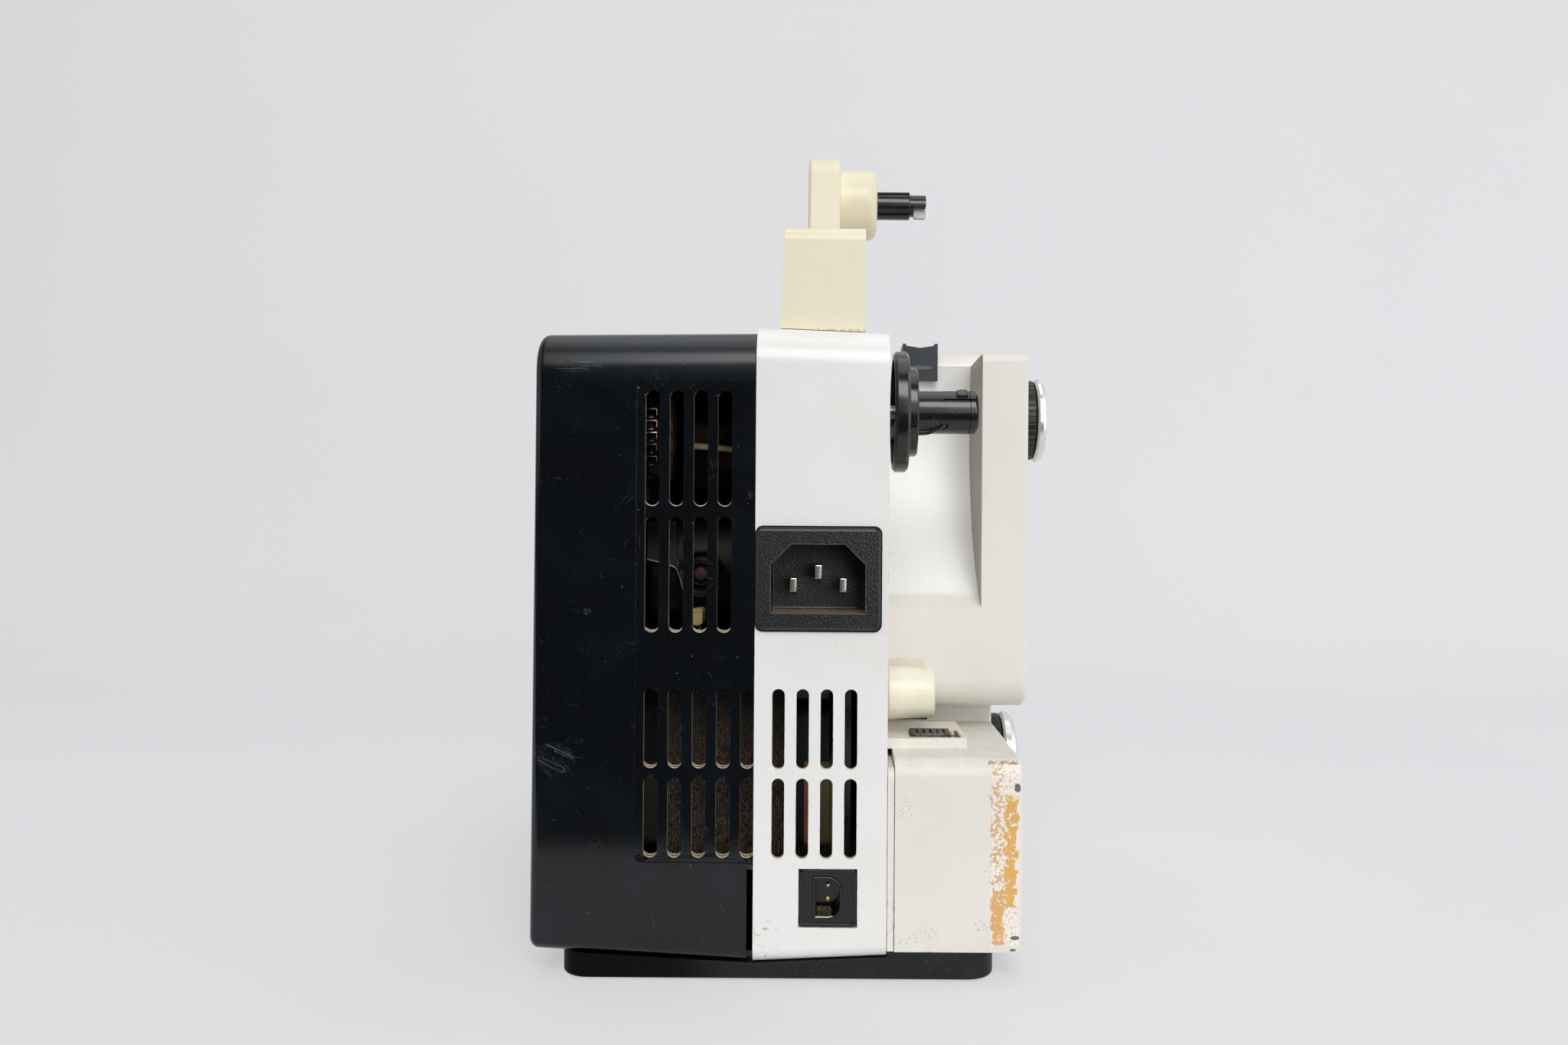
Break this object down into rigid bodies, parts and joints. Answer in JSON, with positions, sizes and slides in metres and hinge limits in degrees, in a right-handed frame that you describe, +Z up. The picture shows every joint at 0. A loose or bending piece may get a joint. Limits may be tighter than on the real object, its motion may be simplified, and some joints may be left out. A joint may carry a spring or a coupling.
{
  "type": "movie projector",
  "caption": "Compact reel projector with vented case, carrying handle, folding supply arm, take-up spindle, film-side housings and control knobs.",
  "frame": {"origin": "centre of the whole object's footprint, on the surface that its pads and foot rest on", "axes": "+Z up; +Y forward, from the rear face with the mains inlet towards the lens; +X to the film side"},
  "size_m": [0.1588, 0.2276, 0.2886],
  "materials": {
    "black_shell": "moulded, semi-gloss, scuffed",
    "white_paint": "fine orange-peel enamel",
    "film_paint": "satin enamel, worn edges",
    "box_paint": "satin enamel, chipped, with old adhesive",
    "cream_plastic": "moulded, satin, yellowed",
    "roller_plastic": "moulded, satin",
    "black_plastic": "moulded, satin",
    "glossy_black": "moulded, glossy",
    "base_plastic": "moulded, fine texture",
    "rubber": "matt",
    "steel": "plated",
    "silver": "turned and satin anodised",
    "brass": "tarnished",
    "laminations": "varnished sheet edges",
    "coil_tape": "varnished tape",
    "ceramic": "glazed",
    "glass": "polished",
    "mirror": "front silvered",
    "belt_rubber": "matt"
  },
  "bodies": {
    "projector": {"base_tray": "base_plastic", "rear_pads": "rubber", "main_body": "white_paint", "side_cover": "black_shell", "case_screws": "steel", "mains_inlet": "black_plastic", "inlet_blades": "steel", "two_pin_socket": "glossy_black", "socket_contacts": "brass", "carry_handle": "cream_plastic", "arm_pin": "steel", "roller_axle": "steel", "film_housing": "film_paint", "film_chute": "black_plastic", "control_housing": "box_paint", "box_plate": "box_paint", "switch_plate": "box_paint", "switch_body": "black_plastic", "rotary_switch": "black_plastic", "chassis_plate": "steel", "motor": "steel", "motor_belt": "belt_rubber", "sprocket_belt": "belt_rubber", "take_up_belt": "belt_rubber", "transformer_core": "laminations", "transformer_coil": "coil_tape", "transformer_bracket": "steel", "lamp_shelf": "steel", "condenser_lens": "glass", "lamp_reflector": "glass", "lamp_bulb": "glass", "lamp_holder": "ceramic", "terminal_strip": "ceramic", "gate_shelf": "steel", "beam_mirror": "mirror", "film_gate": "steel", "pressure_plate": "steel", "lens_holder": "silver"},
    "supply_arm": {"supply_arm": "cream_plastic"},
    "supply_spindle": {"supply_spindle": "black_plastic"},
    "spindle_key": {"spindle_key": "steel"},
    "take_up": {"take_up_shaft": "steel", "take_up_disc": "glossy_black", "take_up_barrel": "glossy_black"},
    "guide_roller": {"guide_roller": "roller_plastic"},
    "inching": {"inching_knob": "black_plastic", "inching_knob_cap": "silver", "film_sprocket": "steel"},
    "control": {"control_knob": "black_plastic", "control_knob_cap": "silver", "control_shaft": "steel"},
    "slide_switch": {"slide_switch": "black_plastic"},
    "front_foot": {"front_foot": "black_plastic"},
    "motor_rotor": {"motor_shaft": "steel", "cooling_fan": "base_plastic"},
    "shutter": {"shutter": "steel"},
    "film_claw": {"film_claw": "steel"},
    "lens": {"lens_barrel": "black_plastic", "lens_glass": "glass"},
    "zoom_ring": {"zoom_ring": "silver"}
  },
  "joints": [
    {"name": "arm_fold", "type": "hinge", "parent": "projector", "child": "supply_arm", "pos_m": [-0.0062, 0.05978, 0.2018], "axis": [1, 0, 0], "range_deg": [0, 90]},
    {"name": "supply_spin", "type": "hinge", "parent": "supply_arm", "child": "supply_spindle", "pos_m": [0.0238, 0.09383, 0.26863], "axis": [1, 0, 0], "continuous": true},
    {"name": "key_flip", "type": "hinge", "parent": "supply_spindle", "child": "spindle_key", "pos_m": [0.04155, 0.09383, 0.26922], "axis": [0, -1, 0], "range_deg": [0, 90]},
    {"name": "take_up_spin", "type": "hinge", "parent": "projector", "child": "take_up", "pos_m": [0.0222, -0.09223, 0.161], "axis": [1, 0, 0], "continuous": true},
    {"name": "roller_spin", "type": "hinge", "parent": "projector", "child": "guide_roller", "pos_m": [0.0216, -0.08223, 0.0772], "axis": [1, 0, 0], "continuous": true},
    {"name": "inching_spin", "type": "hinge", "parent": "projector", "child": "inching", "pos_m": [0.0668, -0.01222, 0.1654], "axis": [1, 0, 0], "continuous": true},
    {"name": "control_turn", "type": "hinge", "parent": "projector", "child": "control", "pos_m": [0.0585, -0.00222, 0.0417], "axis": [1, 0, 0], "range_deg": [-80, 80]},
    {"name": "switch_slide", "type": "slide", "parent": "projector", "child": "slide_switch", "axis": [1, 0, 0], "range_m": [0, 0.0022]},
    {"name": "foot_drop", "type": "slide", "parent": "projector", "child": "front_foot", "axis": [0, 0, -1], "range_m": [0, 0.012]},
    {"name": "motor_spin", "type": "hinge", "parent": "projector", "child": "motor_rotor", "pos_m": [-0.0528, -0.05223, 0.1125], "axis": [1, 0, 0], "continuous": true},
    {"name": "shutter_spin", "type": "hinge", "parent": "projector", "child": "shutter", "pos_m": [0.0092, -0.02022, 0.1125], "axis": [1, 0, 0], "continuous": true},
    {"name": "claw_stroke", "type": "slide", "parent": "projector", "child": "film_claw", "axis": [0, 0, 1], "range_m": [0, 0.0042]},
    {"name": "lens_focus", "type": "slide", "parent": "projector", "child": "lens", "axis": [0, 1, 0], "range_m": [-0.004, 0.004]},
    {"name": "zoom_turn", "type": "hinge", "parent": "lens", "child": "zoom_ring", "pos_m": [0.0345, 0.08878, 0.1285], "axis": [0, 1, 0], "range_deg": [-35, 35]}
  ],
  "couplings": [
    {"joint": "motor_spin", "follows": "shutter_spin", "ratio": 1.8},
    {"joint": "inching_spin", "follows": "shutter_spin", "ratio": 0.40909}
  ]
}
